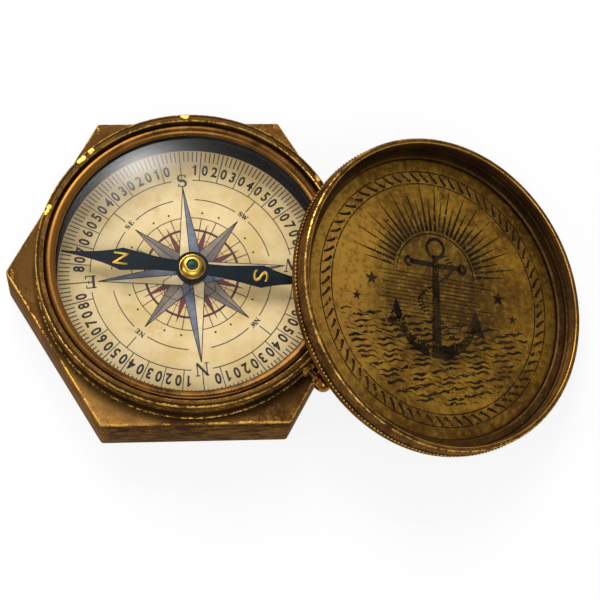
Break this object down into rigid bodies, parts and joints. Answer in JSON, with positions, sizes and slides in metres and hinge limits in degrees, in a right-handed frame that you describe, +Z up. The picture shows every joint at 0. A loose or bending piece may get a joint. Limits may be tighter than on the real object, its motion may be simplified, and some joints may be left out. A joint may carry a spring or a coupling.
{
  "type": "magnetic compass",
  "caption": "Hexagonal brass pocket compass with a glazed dial, a pivoted needle with a lifting knob, and a round screw-on lid leaning against the case.",
  "frame": {"origin": "centre of the flat bottom of the case, on the table, under the centre of the dial", "axes": "+Z up along the pivot, +X through a corner of the hexagon towards the leaning lid, +Y through the flat that is the far side in the picture"},
  "size_m": [0.137, 0.0838, 0.0357],
  "materials": {
    "aged_brass": "dark antique patina, worn bright at the edges",
    "warm_brass": "satin orange-brown lacquer",
    "bright_brass": "polished",
    "lid_brass": "etched, mottled olive patina",
    "blackened_metal": "matt black",
    "blued_steel": "blued",
    "plain_steel": "plain",
    "dial_paper": "printed parchment-coloured card",
    "gasket_rubber": "matt",
    "clear_glass": "polished",
    "green_glass": "polished"
  },
  "bodies": {
    "case": {"case_body": "aged_brass", "bottom_cover": "aged_brass", "bottom_screw_1": "plain_steel", "bottom_screw_2": "plain_steel", "bottom_screw_3": "plain_steel", "threaded_ring": "aged_brass", "retaining_ring": "warm_brass", "crystal": "clear_glass", "glass_gasket": "gasket_rubber", "inner_sleeve": "blackened_metal", "dial_card": "dial_paper", "dial_plate": "warm_brass", "pivot_post": "bright_brass", "pivot_pin": "plain_steel", "lock_bush": "aged_brass", "lifter_bracket": "warm_brass", "lifter_pin": "plain_steel", "lifter_spring": "plain_steel"},
    "needle": {"needle": "blued_steel", "needle_washer": "blued_steel", "needle_cap": "bright_brass", "cap_jewel": "green_glass"},
    "lock": {"lock_knob": "bright_brass", "lock_plunger": "plain_steel"},
    "lifter": {"lifter_lever": "warm_brass", "lifter_tube": "warm_brass"},
    "lid": {"lid_ring": "aged_brass", "lid_disc": "lid_brass"}
  },
  "joints": [
    {"name": "needle_spin", "type": "hinge", "parent": "case", "child": "needle", "pos_m": [0, 0, 0.0167], "axis": [0, 0, 1], "continuous": true},
    {"name": "lock_push", "type": "slide", "parent": "case", "child": "lock", "axis": [-0.7071, 0.7071, 0], "range_m": [0, 0.0012], "stiffness_N_per_m": 500},
    {"name": "lifter_rock", "type": "hinge", "parent": "case", "child": "lifter", "pos_m": [0.01167, -0.01167, 0.0086], "axis": [0.7071, 0.7071, 0], "range_deg": [0, 4.22]},
    {"name": "lid_lift", "type": "slide", "parent": "case", "child": "lid", "axis": [0, 0, 1], "range_m": [0, 0.04]}
  ],
  "couplings": [
    {"joint": "lifter_rock", "follows": "lock_push", "rad_per_m": 61.35}
  ]
}
